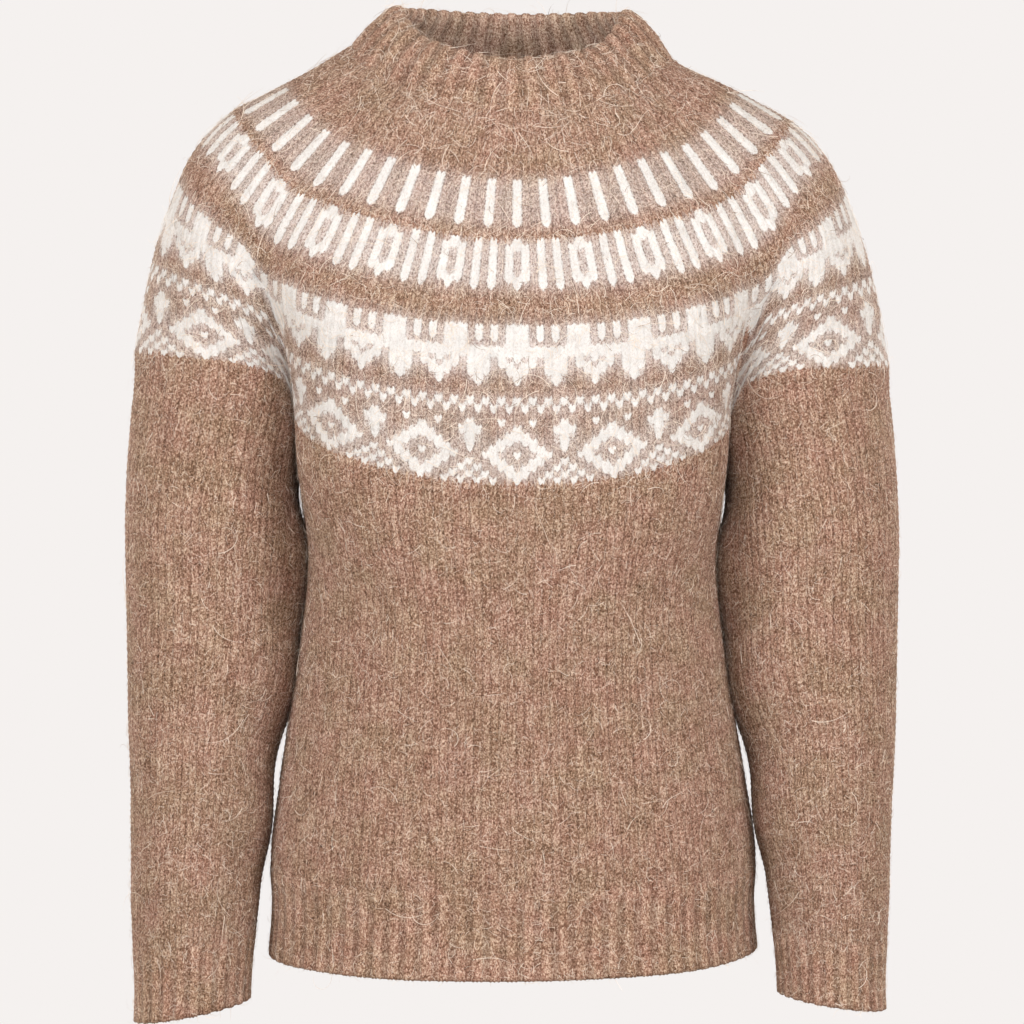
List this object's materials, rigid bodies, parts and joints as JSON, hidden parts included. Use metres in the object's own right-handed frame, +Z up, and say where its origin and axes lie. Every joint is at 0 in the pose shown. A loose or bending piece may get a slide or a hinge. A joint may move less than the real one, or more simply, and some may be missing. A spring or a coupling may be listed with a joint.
{
  "type": "pullover sweater",
  "caption": "Round-yoke wool pullover with a ribbed mock-neck band, hem and cuffs, filled out hollow as if worn, sleeves hanging at the sides.",
  "frame": {"origin": "the middle of the neck's base, level with the tops of the shoulders, where a wearer or a form holds the garment", "axes": "+Z up from the hem to the neck, -Y out of the garment's front, +X towards the right of the picture, which is the wearer's left"},
  "size_m": [0.54, 0.2501, 0.7147],
  "materials": {
    "heather_wool": "brushed knitted wool, heathered taupe",
    "yoke_wool": "brushed knitted wool, taupe and cream in a stranded pattern",
    "rib_wool": "ribbed knitted wool, heathered taupe"
  },
  "bodies": {
    "root": {"neckband": "rib_wool", "yoke": "yoke_wool", "body": "heather_wool", "hem_rib": "rib_wool", "sleeve_left": "heather_wool", "sleeve_right": "heather_wool", "cuff_left": "rib_wool", "cuff_right": "rib_wool"}
  },
  "joints": []
}
